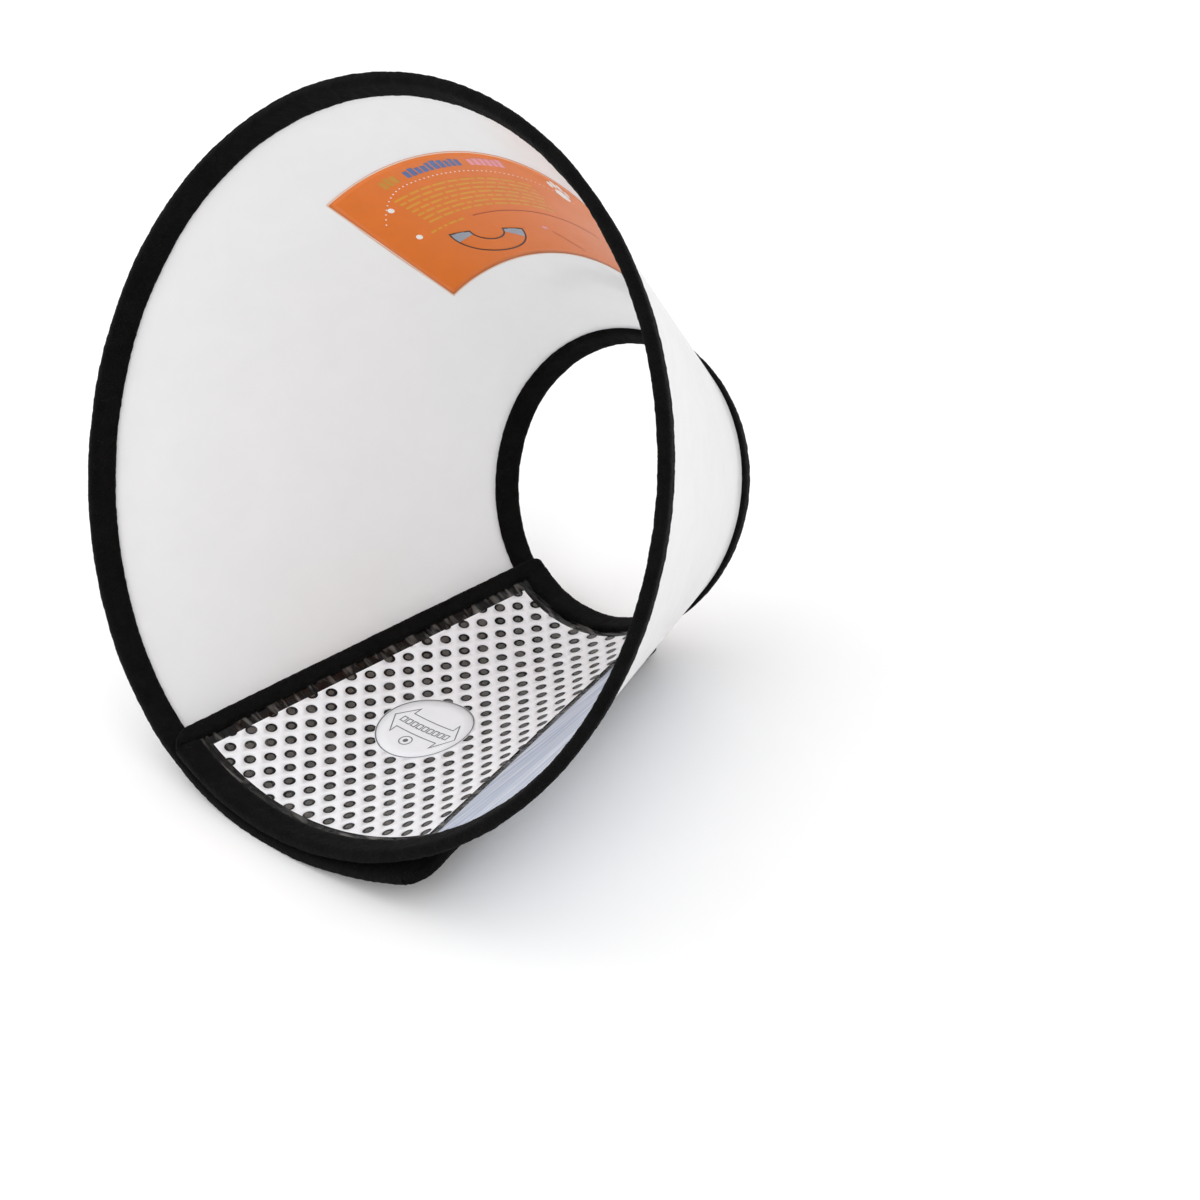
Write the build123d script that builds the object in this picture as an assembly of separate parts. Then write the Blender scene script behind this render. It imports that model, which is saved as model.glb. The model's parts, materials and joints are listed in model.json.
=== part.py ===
from build123d import *
import os
from math import atan2, cos, degrees, hypot, radians, sin, sqrt

# An elizabethan collar: one fan of clear plastic sheet, rolled into a cone and closed by a hook
# panel that lies on a loop pad. The sheet and its edge binding are cut into panels along
# generators of the cone, so that the collar can unroll flat about the joints between panels.
#
# The collar lies on its closed lap, mouth towards -Y, with the origin under its middle.
# "Slant" is distance from the cone's apex along the sheet. "Turn" is the angle about the cone's
# axis in degrees, 0 at the line that the collar rests on and growing anticlockwise seen from the
# mouth. The sheet starts at the hook end, more than a full turn before the loop end.
# "Depth" is distance inward from the skin of a cone through the apex.

# Driving dimensions, in millimetres and degrees
CONE_HALF_ANGLE = 26.0
NECK_SLANT = 125.0
RIM_SLANT = 290.0
SHEET_THICK = 0.6
TURN_PANELS = 13            # panels that make up one full turn
FIRST_JOINT = -344.0        # turn of the joint nearest the hook end
HOOK_END_PAST_REST = 22.8   # at the rim, the hook end lies this far past the resting line
HOOK_END_SKEW = 4.6         # angle of the hook end's edge to the cone's own lines
LOOP_END_PAST_REST = 32.6   # and the loop end this far past it on the other side
LAP_GAP = 4.9               # between the middles of the two lapped sheets
JOINT_GAP = 0.05            # each panel stops this far short of its joint

BINDING_WIDTH = 9.5
BINDING_THICK = 4.0
BINDING_ROUND = 1.6
BINDING_EDGE = 1.5          # solid edge of the binding beyond the sheet
SLOT_THICK = 0.7
PRESSED_FLAT = 0.8          # plush pressed away where the binding meets the floor
RIM_CORNER = 9.0            # rounding of the sheet's four corners
NECK_CORNER = 5.0

HOOK_ZONE = 56.6            # the hook patch's width at the rim, as an angle of turn
HOOK_ZONE_SKEW = 11.0       # angle of its far edge to the cone's own lines
HOOK_TAPE_THICK = 1.6
LOOP_PAD_THICK = 1.9
LOOP_ZONE = 48.0
LOOP_ZONE_SKEW = 7.0
FILM_THICK = 0.2
FILM_MARGIN = 5.0           # dark tape left showing round the perforated film
HOLE_PITCH = 6.5
HOLE_RADIUS = 1.95
DISC_RADIUS = 18.0
DISC_THICK = 0.15
DISC_SLANT = 217.5
DISC_FROM_HOOK_END = 27.6

LABEL_MIDDLE = -168.5
LABEL_ZONE = 78.0
LABEL_NECK_SLANT = 186.0
LABEL_RIM_SLANT = 247.0
LABEL_THICK = 0.15

CLEAR = 0.1                 # between pieces that would otherwise share a face
TRIM_REACH = 20.0           # half the depth of blocks used only to trim other solids
TRIM_WIDTH = 40.0           # how far such a block reaches past the edge that it trims
TRIM_OVERRUN = 10.0         # and past the neck and the rim
FLOOR_SIZE = 800.0          # side of the block that presses the binding flat
END_REACH = 14.0            # turn spanned before an end binding is trimmed to width
APEX_X = 1.2
APEX_Y = 184.05             # puts the origin under the middle of the collar

# Worked out from the above
SIN_A = sin(radians(CONE_HALF_ANGLE))
COS_A = cos(radians(CONE_HALF_ANGLE))
STEP = 360 / TURN_PANELS
HOOK_END = -360 - HOOK_END_PAST_REST
JOINT_TURNS = [FIRST_JOINT] + [(k - 0.5) * STEP for k in range(2 - TURN_PANELS, 2)]
BOUNDARIES = [HOOK_END] + JOINT_TURNS + [LOOP_END_PAST_REST]
PANELS = len(BOUNDARIES) - 1
REST_PANEL = PANELS - 2
DEPTHS = [LAP_GAP * (PANELS - 1 - i) / TURN_PANELS for i in range(PANELS)]
HALF_SHEET = SHEET_THICK / 2
INNER_NECK = NECK_SLANT + BINDING_WIDTH
INNER_RIM = RIM_SLANT - BINDING_WIDTH
SHEET_DEPTH = RIM_SLANT - NECK_SLANT
DISC_TURN = HOOK_END + DISC_FROM_HOOK_END

# A straight edge across the sheet: its turn at the rim, the side that the piece lies on, its skew
HOOK_EDGE = (HOOK_END, 1, HOOK_END_SKEW)
LOOP_EDGE = (LOOP_END_PAST_REST, -1, 0.0)
HOOK_PATCH_EDGE = (HOOK_END + HOOK_ZONE, -1, -HOOK_ZONE_SKEW)
LOOP_PAD_EDGE = (LOOP_END_PAST_REST - LOOP_ZONE, 1, LOOP_ZONE_SKEW)
APEX_Z = BINDING_THICK / 2 - PRESSED_FLAT - DEPTHS[REST_PANEL]
WORLD = Plane(origin=(APEX_X, APEX_Y, APEX_Z), x_dir=(0, -SIN_A, -COS_A), z_dir=(0, -COS_A, SIN_A))
SECTION = Plane(origin=(0, 0, 0), x_dir=(SIN_A, 0, COS_A), z_dir=(0, 1, 0))


def revolved(section, start, end):
    """A cone patch: a section drawn as (slant, outward distance), swept from one turn to another."""
    patch = revolve(SECTION * section, axis=Axis.Z, revolution_arc=end - start)
    return patch.rotate(Axis.Z, start)


def slab(slant_low, slant_high, depth_low, depth_high, start, end):
    """A plain cone patch between two slants, two depths and two turns."""
    centre = ((slant_low + slant_high) / 2, -(depth_low + depth_high) / 2)
    section = Pos(*centre) * Rectangle(slant_high - slant_low, depth_high - depth_low)
    return revolved(section, start, end)


def binding_section(free_edge, into_sheet, depth):
    """A folded strip seen end on: rounded outside, with a slot that the sheet's edge sits in."""
    slot_start = free_edge + into_sheet * (BINDING_EDGE - CLEAR)
    slot_end = free_edge + into_sheet * (BINDING_WIDTH + CLEAR)
    middle = free_edge + into_sheet * BINDING_WIDTH / 2
    outside = Pos(middle, -depth) * RectangleRounded(BINDING_WIDTH, BINDING_THICK, BINDING_ROUND)
    slot_place = Pos((slot_start + slot_end) / 2, -depth)
    return outside - slot_place * Rectangle(abs(slot_end - slot_start), SLOT_THICK)


def edge_block(edge, low, high, overrun=0.0, rounded=False):
    """A block along a straight edge of the sheet, from low to high mm in from it."""
    turn, side, skew = edge
    middle = Pos(-SHEET_DEPTH / 2, side * (low + high) / 2)
    outline = middle * Rectangle(SHEET_DEPTH + 2 * overrun, high - low)
    if rounded:
        outline = rounded_corners(outline, side, -overrun)
    lean = radians(skew)
    place = Plane(
        origin=(RIM_SLANT * SIN_A, 0, RIM_SLANT * COS_A),
        x_dir=(SIN_A * cos(lean), sin(lean), COS_A * cos(lean)),
        z_dir=(-COS_A, 0, SIN_A),
    )
    return extrude(place * outline, TRIM_REACH, both=True).rotate(Axis.Z, turn)


def rounded_corners(outline, side, inset):
    """A block's outline with its rim and neck corners rounded on the free side."""
    free_side = 0 if side > 0 else -1
    rim_corner = outline.vertices().group_by(Axis.Y)[free_side].sort_by(Axis.X)[-1]
    outline = fillet(rim_corner, RIM_CORNER - inset)
    neck_side = outline.vertices().group_by(Axis.X)[0]
    return fillet(neck_side.sort_by(Axis.Y)[free_side], NECK_CORNER - inset)


def neck_turn(edge):
    """The turn at which an edge meets the neck."""
    turn, side, skew = edge
    return turn - degrees(SHEET_DEPTH * sin(radians(skew)) / NECK_SLANT) / SIN_A


def panel_ends(i):
    """The turns at which panel i's solids start and stop, just short of its joints."""
    gap = degrees(JOINT_GAP / (RIM_SLANT * SIN_A))
    start = BOUNDARIES[i] + gap if i > 0 else neck_turn(HOOK_EDGE)
    end = BOUNDARIES[i + 1] - (gap if i < PANELS - 1 else 0)
    return start, end


def free_edge_of(i):
    """Panel i's free edge at an end of the sheet, or None."""
    return {0: HOOK_EDGE, PANELS - 1: LOOP_EDGE}.get(i)


def without_beyond(shape, edge, width):
    """The shape cut off width mm in from an edge."""
    return shape - edge_block(edge, -TRIM_WIDTH, width, TRIM_OVERRUN)


def cut_back(shape, i, width):
    """The shape without the last width mm at a free end of the sheet."""
    edge = free_edge_of(i)
    return shape if edge is None else without_beyond(shape, edge, width)


def round_end(shape, edge, inset):
    """The shape ended inset mm from the sheet's free end, its corners rounded like the binding's."""
    kept = edge_block(edge, inset, BINDING_WIDTH, -inset, rounded=True)
    return shape - (edge_block(edge, -TRIM_WIDTH, BINDING_WIDTH) - kept)


def sheet(i):
    """Clear plastic panel, its edges hidden in the bindings' slots."""
    low, high = NECK_SLANT + BINDING_EDGE, RIM_SLANT - BINDING_EDGE
    plain = slab(low, high, DEPTHS[i] - HALF_SHEET, DEPTHS[i] + HALF_SHEET, *panel_ends(i))
    edge = free_edge_of(i)
    return plain if edge is None else round_end(plain, edge, BINDING_EDGE)


def edge_binding(i, free_edge, into_sheet):
    """One panel's length of plush strip, folded over the rim or the neck edge."""
    strip = revolved(binding_section(free_edge, into_sheet, DEPTHS[i]), *panel_ends(i))
    strip = cut_back(strip, i, BINDING_WIDTH + CLEAR)
    if i == REST_PANEL:
        floor = Pos(0, 0, -TRIM_REACH) * Box(FLOOR_SIZE, FLOOR_SIZE, 2 * TRIM_REACH)
        floor = WORLD.location.inverse() * floor
        strip = strip - floor
    return strip


def end_binding(i):
    """Plush strip folded over one straight end of the sheet, with the sheet's rounded corners."""
    edge = free_edge_of(i)
    turns = sorted((neck_turn(edge), edge[0] + edge[1] * END_REACH))
    half = BINDING_THICK / 2
    depth = DEPTHS[i]
    strip = slab(NECK_SLANT, RIM_SLANT, depth - half, depth + half, *turns)
    strip = strip & edge_block(edge, 0, BINDING_WIDTH, rounded=True)
    low, high = NECK_SLANT + BINDING_EDGE - CLEAR, RIM_SLANT - BINDING_EDGE + CLEAR
    slot = slab(low, high, depth - SLOT_THICK / 2, depth + SLOT_THICK / 2, *turns)
    return strip - round_end(slot, edge, BINDING_EDGE - CLEAR)


def lap_layer(i, far_edge, depth_low, depth_high, margin=0.0):
    """A layer on one panel of the closure, between the bindings and up to its far edge."""
    low, high = INNER_NECK + CLEAR + margin, INNER_RIM - CLEAR - margin
    layer = slab(low, high, depth_low, depth_high, *panel_ends(i))
    layer = without_beyond(layer, far_edge, margin)
    return cut_back(layer, i, BINDING_WIDTH + CLEAR + margin)


def hook_tape(i):
    """Black tape with moulded hooks, on the outside of the hook end."""
    outer_skin = DEPTHS[i] - HALF_SHEET
    return lap_layer(i, HOOK_PATCH_EDGE, outer_skin - HOOK_TAPE_THICK, outer_skin)


def loop_pad(i):
    """Fleece pad that the hooks grip, on the inside of the loop end."""
    inner_skin = DEPTHS[i] + HALF_SHEET
    return lap_layer(i, LOOP_PAD_EDGE, inner_skin, inner_skin + LOOP_PAD_THICK)


def flat_place(slant, turn, depth):
    """Where a point of the flat pattern comes to on the cone, facing outward."""
    radius = slant * SIN_A - depth * COS_A
    height = slant * COS_A + depth * SIN_A
    plane = Plane(origin=(radius, 0, height), x_dir=(SIN_A, 0, COS_A), z_dir=(COS_A, 0, -SIN_A))
    return Rot(0, 0, turn) * plane.location


def hole_places(depth):
    """Centres of the film's holes: a staggered grid on the flat pattern, middle of the closure first."""
    middle_turn = HOOK_END + HOOK_ZONE / 2
    row_gap = HOLE_PITCH * sqrt(3) / 2
    reach = int((RIM_SLANT - NECK_SLANT) / row_gap)
    places = []
    for row in range(-reach, reach):
        for column in range(-reach, reach):
            x = (NECK_SLANT + RIM_SLANT) / 2 + row * row_gap
            y = (column + 0.5 * (row % 2)) * HOLE_PITCH
            turn = middle_turn + degrees(atan2(y, x)) / SIN_A
            places.append((hypot(x, y), turn, depth))
    return places


def hook_film(i):
    """White perforated film over the hook patch's inside, with the dark tape showing round it."""
    inner_skin = DEPTHS[i] + HALF_SHEET
    film = lap_layer(i, HOOK_PATCH_EDGE, inner_skin, inner_skin + FILM_THICK, FILM_MARGIN)
    start, stop = panel_ends(i)
    edge_turn = degrees(2 * HOLE_RADIUS / (NECK_SLANT * SIN_A))
    punch = Cylinder(HOLE_RADIUS, SHEET_THICK)
    holes = [
        flat_place(*place) * punch
        for place in hole_places(inner_skin)
        if INNER_NECK < place[0] < INNER_RIM and start - edge_turn < place[1] < stop + edge_turn
    ]
    return film - holes


def adjust_disc():
    """Round printed sticker on the film, clear of the joint beside it."""
    inner_skin = DEPTHS[0] + HALF_SHEET + FILM_THICK
    layer = slab(INNER_NECK, INNER_RIM, inner_skin, inner_skin + DISC_THICK, *panel_ends(0))
    return layer & flat_place(DISC_SLANT, DISC_TURN, inner_skin) * Cylinder(DISC_RADIUS, TRIM_REACH)


def label(i):
    """Printed sticker on the inside, opposite the closure."""
    inner_skin = DEPTHS[i] + HALF_SHEET
    start, end = panel_ends(i)
    start = max(start, LABEL_MIDDLE - LABEL_ZONE / 2)
    end = min(end, LABEL_MIDDLE + LABEL_ZONE / 2)
    return slab(LABEL_NECK_SLANT, LABEL_RIM_SLANT, inner_skin, inner_skin + LABEL_THICK, start, end)


def covered(start, end):
    """The panels that a zone between two turns reaches."""
    return [i for i in range(PANELS) if BOUNDARIES[i] < end and BOUNDARIES[i + 1] > start]


def collar():
    """Every node of the collar by name, in the cone's own frame."""
    nodes = {}
    for i in range(PANELS):
        nodes[f"sheet_{i:02d}"] = sheet(i)
        nodes[f"rim_binding_{i:02d}"] = edge_binding(i, RIM_SLANT, -1)
        nodes[f"neck_binding_{i:02d}"] = edge_binding(i, NECK_SLANT, 1)
    nodes["hook_end_binding"] = end_binding(0)
    nodes["loop_end_binding"] = end_binding(PANELS - 1)
    nodes["adjust_disc"] = adjust_disc()
    for i in covered(HOOK_END, neck_turn(HOOK_PATCH_EDGE)):
        nodes[f"hook_tape_{i:02d}"] = hook_tape(i)
        nodes[f"hook_film_{i:02d}"] = hook_film(i)
    for i in covered(neck_turn(LOOP_PAD_EDGE), LOOP_END_PAST_REST):
        nodes[f"loop_pad_{i:02d}"] = loop_pad(i)
    for i in covered(LABEL_MIDDLE - LABEL_ZONE / 2, LABEL_MIDDLE + LABEL_ZONE / 2):
        nodes[f"label_{i:02d}"] = label(i)
    return nodes


os.makedirs("parts", exist_ok=True)
for name, shape in collar().items():
    placed = WORLD.location * shape
    placed.label = name
    export_step(placed, f"parts/{name}.step")
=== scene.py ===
import json
import random
from functools import partial
from math import atan2, ceil, cos, degrees, hypot, pi, radians, sin, sqrt

import bmesh
import bpy
import numpy as np
from mathutils import Matrix, Vector, noise

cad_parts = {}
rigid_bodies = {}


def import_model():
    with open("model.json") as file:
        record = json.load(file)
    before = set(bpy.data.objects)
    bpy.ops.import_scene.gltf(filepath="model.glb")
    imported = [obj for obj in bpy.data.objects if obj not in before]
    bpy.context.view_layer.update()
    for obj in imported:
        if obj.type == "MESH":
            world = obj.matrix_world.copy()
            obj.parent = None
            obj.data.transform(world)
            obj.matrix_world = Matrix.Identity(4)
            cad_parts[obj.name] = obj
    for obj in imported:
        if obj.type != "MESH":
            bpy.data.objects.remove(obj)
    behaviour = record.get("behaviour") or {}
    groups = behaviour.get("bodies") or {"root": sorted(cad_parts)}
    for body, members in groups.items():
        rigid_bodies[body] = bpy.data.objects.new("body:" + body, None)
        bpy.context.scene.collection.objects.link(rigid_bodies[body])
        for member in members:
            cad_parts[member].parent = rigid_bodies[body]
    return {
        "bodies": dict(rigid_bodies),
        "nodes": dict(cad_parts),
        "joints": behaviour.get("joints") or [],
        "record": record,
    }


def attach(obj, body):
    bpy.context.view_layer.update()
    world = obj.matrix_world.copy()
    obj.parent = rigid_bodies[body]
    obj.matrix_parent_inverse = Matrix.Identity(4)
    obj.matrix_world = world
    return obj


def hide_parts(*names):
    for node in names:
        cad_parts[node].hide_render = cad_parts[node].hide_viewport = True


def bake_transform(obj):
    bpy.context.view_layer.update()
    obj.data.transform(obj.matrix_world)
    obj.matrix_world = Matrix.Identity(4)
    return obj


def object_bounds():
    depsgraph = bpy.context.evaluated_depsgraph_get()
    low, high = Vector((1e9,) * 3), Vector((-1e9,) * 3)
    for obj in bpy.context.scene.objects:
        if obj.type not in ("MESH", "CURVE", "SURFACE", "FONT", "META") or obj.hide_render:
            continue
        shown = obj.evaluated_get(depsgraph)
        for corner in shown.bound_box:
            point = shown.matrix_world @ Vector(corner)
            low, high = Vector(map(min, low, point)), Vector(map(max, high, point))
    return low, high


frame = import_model()
CAD_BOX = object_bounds()
RECORD = frame["record"]

# An elizabethan collar closed into a cone. Everything is drawn on the collar's flat pattern, in metres,
# where x and y lie on the unrolled sheet about the cone's apex and z is height above the middle of the
# sheet, towards the inside. roll() then carries it onto the cone. "Turn" is the angle about the cone's
# axis, 0 where the collar rests, and "slant" is distance from the apex along the sheet. The continuous
# sheet and bindings are cut half-way between the hinges into strips.

# The collar's dimensions, in metres and degrees
CONE_HALF_ANGLE = 26.0
NECK_SLANT = 0.125
RIM_SLANT = 0.290
SHEET_THICK = 0.0006
LAP_GAP = 0.0049            # the sheet rolls inwards by this much in a full turn
TURN_PANELS = 13
BINDING_WIDTH = 0.0095
HOOK_BINDING_WIDTH = 0.0068
BINDING_THICK = 0.0045
HOOK_END = -382.8           # turn of the hook end at the rim
HOOK_END_SKEW = 4.6
LOOP_END = 32.6             # turn of the loop end
RIM_CORNER = 0.009
NECK_CORNER = 0.005
HOOK_PATCH_TURN = -325.6    # far edge of the hook patch at the rim
HOOK_PATCH_SKEW = 3.2
# The bluish streaks beside the hook patch are a painted reflection on the sheet.
REFLECTION_STREAKS_TURN = -307.0       # where the bluish streaks beside the hook patch end, at the rim
LOOP_PAD_TURN = -15.4       # far edge of the loop pad at the rim
LOOP_PAD_SKEW = 7.0
HOOK_TAPE_THICK = 0.0016
LOOP_PAD_THICK = 0.0019
PAD_EDGE = 0.0015           # the pad's nap thins over this much at its own edge
PAD_EDGE_DROP = 0.0009      # by this much
FILM_THICK = 0.0002
FILM_MARGIN = 0.0044        # black border left beside the film
FILM_FAR_MARGIN = FILM_MARGIN * 0.8
FILM_NECK_SLANT = 0.1385
FILM_RIM_SLANT = 0.2775
HOLE_PITCH_ALONG = 0.0108   # the film's holes are staggered: this far apart along the slant
HOLE_PITCH_ACROSS = 0.009   # and this far across it
HOLE_LEAN = 6.0             # degrees the rows lean from the middle of the patch
HOLE_LEAN_TURN = 28.3       # turn from the hook end to the line that the lean is measured from
HOLE_RADIUS = 0.00215
HOLE_OVERRUN = 0.004        # holes are placed this far past the patch's edge, then trimmed
HOLE_SIDES = 6              # edges on each side of the diamond of film round a hole
FIRST_HOLE = (0.2526, -379.0)               # slant and turn
# The bosses are coloured paler as a painted highlight, a glint in each hole.
BOSS_SIZES = (0.5, 0.64)    # the hooks' bosses, as a share of the hole's radius
BOSS_SHIFT = 0.0002
BOSS_HEIGHTS = (0.00003, 0.00016)           # of its rim and its peak, above the sheet
LOOP_FLARE = 0.0045         # the free end springs out by this much
FLARE_START = radians(4.0)
DISC_RADIUS = 0.018
DISC_SLANT = 0.2175
DISC_TURN = -355.2
DISC_SIDES = 96
DISC_LINE_WIDTH = 0.00042
LABEL_MIDDLE = -168.5
LABEL_RIM_SLANT = 0.2455
LABEL_NECK_SLANT = 0.183
LABEL_RIM_HALF = 36.0       # half its width at the rim side, as turn
LABEL_NECK_HALF = 41.0
LABEL_THICK = 0.00015
LABEL_TILT = -2.6           # degrees it is stuck on askew, about its first end
INK_THICK = 0.00006

# Where the label's marks lie, as slants and turns
LABEL_FRAME_INSET = 0.0003
TITLE_START = (0.2365, -144.0)
TITLE_WORDS = (("gold", 3), ("blue", 10), ("pink", 6))
TITLE_SLOPE = 0.00006       # the title climbs by this much for each degree of turn
DOTTED_LINE = (0.2345, -136.0, -193.0)      # slant, and its two ends
DOTS = 50
DOTTED_DROP = 0.0105        # it curves down by this much over the first part of its length
DOTTED_CURVE = 0.22
BULLETS = ((0.2277, -140.0), (0.2118, -138.1))
SMALL_PRINT = (0.2300, -142.6, -180.0)      # the first row's slant, and its two ends
SMALL_PRINT_ROWS = 7
SMALL_PRINT_PITCH = 0.0025
NOTE_ROW = (0.2105, -141.2, -152.0)
RED_ARC = (0.2105, -154.0, -192.0)
PINK_DASH = (0.2005, -170.0, -171.6)
RED_TICK = ((0.1985, -172.0), (0.1890, -178.5))
MINI_COLLAR = (0.2020, -153.2)
MINI_COLLAR_TILT = radians(-13.0)
MINI_COLLAR_RADII = (0.0150, 0.0068)
PAW = (0.2375, -190.5)

# Drawing detail
SHEET_TUCK = 0.004          # the sheet reaches this far into its bindings
PATCH_TUCK = 0.0005         # and the tape and the pad this far
STUCK_ON = 0.00005          # gap between the sheet and the tape or the pad
STICKER_GAP = 0.00002       # and under a sticker
PILE_STEP = 0.0007          # size of the plush's mesh
PILE_ROUGHNESS = 0.00022    # how far its pile stands out or in
SHEET_STEP = 0.004
FLEECE_STEP = 0.0014
LABEL_STEP = 0.003
INK_STEP = 0.0016
FLOOR_CLEARANCE = 0.0001

# Camera and room
CAMERA_AZIMUTH = 42.73
CAMERA_ELEVATION = 33.89
CAMERA_ROLL = -0.95
CAMERA_LENS = 71.1
CAMERA_DISTANCE = 0.785
CAMERA_AIM = (0.0568, 0.0049, -0.0514)      # from the middle of the CAD box
FLOOR_SIZE = 40.0

SIN_A = sin(radians(CONE_HALF_ANGLE))
COS_A = cos(radians(CONE_HALF_ANGLE))
MOUNTS = {m["name"]: m for m in RECORD["mounts"]}
AXIS = -np.array(MOUNTS["neck_opening"]["axis"], float)
SIDE = np.array((1.0, 0.0, 0.0))
DOWN = np.cross(SIDE, AXIS)
APEX = np.array(MOUNTS["neck_opening"]["pos_m"], float) - AXIS * NECK_SLANT * COS_A
MID_DEPTH = LAP_GAP / TURN_PANELS


def turn_of(direction):
    """The turn of a line on the cone, from its direction, within a full turn below 180 degrees."""
    return degrees(atan2(np.dot(direction, SIDE), np.dot(direction, DOWN)))


def panel(i):
    """The name of the CAD body for panel i."""
    return "base_panel" if i == LAST_PANEL - 1 else f"panel_{i:02d}"


def find_hinges():
    """Each hinge between two panels, from the hook end to the loop end: its turn and a point on it."""
    found = []
    for k in range(LAST_PANEL):
        pair = {panel(k), panel(k + 1)}
        joint = next(j for j in frame["joints"] if {j["parent"], j["child"]} == pair)
        line = np.array(joint["axis"], float)
        line = line if np.dot(line, AXIS) > 0 else -line
        turn = turn_of(line)
        while found and turn < found[-1][0]:
            turn += 360
        found.append((turn, np.array(joint["pos_m"], float)))
    shift = 360 * round((found[-2][0] + 180 / TURN_PANELS) / 360)
    return [(turn - shift, point) for turn, point in found]


LAST_PANEL = len(frame["bodies"]) - 1
HINGES = find_hinges()
STRIP_TURNS = [None] + [(HINGES[k][0] + HINGES[k + 1][0]) / 2 for k in range(len(HINGES) - 1)] + [None]


def flat_angle(turn):
    """Angle on the flat pattern, in radians, of a turn in degrees."""
    return radians(turn) * SIN_A


def flat_point(slant, turn):
    return slant * cos(flat_angle(turn)), slant * sin(flat_angle(turn))


def to_polar(points):
    """Flat pattern points as (slant, flat angle, height)."""
    slant = np.hypot(points[:, 0], points[:, 1])
    return np.column_stack([slant, np.arctan2(points[:, 1], points[:, 0]), points[:, 2]])


def to_flat(polar):
    slant, angle, height = polar.T
    return np.column_stack([slant * np.cos(angle), slant * np.sin(angle), height])


def roll(polar, normals=None):
    """Polar pattern points, and flat-pattern normals, carried onto the rolled-up cone."""
    slant, angle, height = polar.T
    turn = angle / SIN_A
    sprung = np.clip((turn - FLARE_START) / (radians(LOOP_END) - FLARE_START), 0, 1) ** 2
    depth = MID_DEPTH - LAP_GAP * turn / (2 * pi) + height - LOOP_FLARE * sprung
    radius = slant * SIN_A - depth * COS_A
    along = slant * COS_A + depth * SIN_A
    out = np.outer(np.cos(turn), DOWN) + np.outer(np.sin(turn), SIDE)
    around = np.outer(np.cos(turn), SIDE) - np.outer(np.sin(turn), DOWN)
    placed = APEX + out * radius[:, None] + np.outer(along, AXIS)
    placed[:, 2] = np.maximum(placed[:, 2], FLOOR_CLEARANCE)
    if normals is None:
        return placed
    up_slant = out * SIN_A + AXIS * COS_A
    inward = AXIS * SIN_A - out * COS_A
    c, s = np.cos(angle), np.sin(angle)
    radial = normals[:, 0] * c + normals[:, 1] * s
    tangent = normals[:, 1] * c - normals[:, 0] * s
    turned = up_slant * radial[:, None] + around * tangent[:, None] + inward * normals[:, 2:3]
    return placed, turned / np.linalg.norm(turned, axis=1)[:, None]


def edge_angle(slant, rim_turn, skew, inset=0.0):
    """Flat angle where a straight edge of the pattern crosses a slant. It leaves the rim at rim_turn."""
    lean = radians(skew)
    offset = RIM_SLANT * sin(lean) - inset      # from the apex to the edge's line
    return flat_angle(rim_turn) + lean - np.arcsin(offset / slant)


def hook_edge(slant, inset=0.0):
    return edge_angle(slant, HOOK_END, HOOK_END_SKEW, inset)


def loop_edge(slant, inset=0.0):
    return edge_angle(slant, LOOP_END, 0.0, -inset)


def hook_patch_edge(slant, inset=0.0):
    return edge_angle(slant, HOOK_PATCH_TURN, -HOOK_PATCH_SKEW, -inset)


def loop_pad_edge(slant, inset=0.0):
    return edge_angle(slant, LOOP_PAD_TURN, LOOP_PAD_SKEW, inset)


# Making the pieces

def new_piece(name, points, normals, faces, materials, patterns, face_slots=None):
    """An object from world points and normals, with the flat pattern kept as its UV map."""
    mesh = bpy.data.meshes.new(name)
    mesh.from_pydata(points.tolist(), [], faces)
    for material in materials:
        mesh.materials.append(material)
    if face_slots is not None:
        mesh.polygons.foreach_set("material_index", face_slots)
    mesh.polygons.foreach_set("use_smooth", [True] * len(mesh.polygons))
    layer = mesh.uv_layers.new(name="pattern")
    corner = np.zeros(len(mesh.loops), np.int32)
    mesh.loops.foreach_get("vertex_index", corner)
    layer.data.foreach_set("uv", patterns[corner].astype(np.float32).ravel())
    mesh.update()
    mesh.normals_split_custom_set_from_vertices(normals.tolist())
    piece = bpy.data.objects.new(name, mesh)
    bpy.context.scene.collection.objects.link(piece)
    return piece


def bend(piece):
    """Bakes the strip's placement into its mesh."""
    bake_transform(piece)


def strip_limits(k):
    """Flat angles between which strip k lies, open-ended at the sheet's two ends."""
    low = -10.0 if k == 0 else flat_angle(STRIP_TURNS[k])
    high = 10.0 if k == len(HINGES) - 1 else flat_angle(STRIP_TURNS[k + 1])
    return low, high


def stands_for(kind, k):
    """The piece replaces the CAD nodes of its kind on panel k. The last strip covers the last two panels."""
    panels = [k, k + 1] if k == len(HINGES) - 1 else [k]
    nodes = [f"{kind}_{i:02d}" for i in panels if f"{kind}_{i:02d}" in frame["nodes"]]
    if nodes:
        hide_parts(*nodes)


def rows_for(start, end, step):
    """Evenly spaced flat angles from start to end, with one at every strip limit between them."""
    cuts = [flat_angle(t) for t in STRIP_TURNS[1:-1]]
    stops = [start] + [c for c in cuts if start < c < end] + [end]
    rows = [start]
    for a, b in zip(stops, stops[1:]):
        count = max(1, ceil((b - a) / step))
        rows += [a + (b - a) * i / count for i in range(1, count + 1)]
    return rows


def grid_faces(rows, columns):
    """Quads of a grid of rows by columns, joined round across the columns."""
    faces = []
    for r in range(rows - 1):
        for c in range(columns):
            d = (c + 1) % columns
            faces.append((r * columns + c, r * columns + d, (r + 1) * columns + d, (r + 1) * columns + c))
    return faces


def grid_normals(points):
    """Smooth normals of a closed grid of flat-pattern points shaped (rows, columns, 3)."""
    along = np.gradient(points, axis=0)
    across = np.roll(points, -1, axis=1) - np.roll(points, 1, axis=1)
    normals = np.cross(across, along)
    return normals / np.maximum(np.linalg.norm(normals, axis=2), 1e-12)[..., None]


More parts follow.
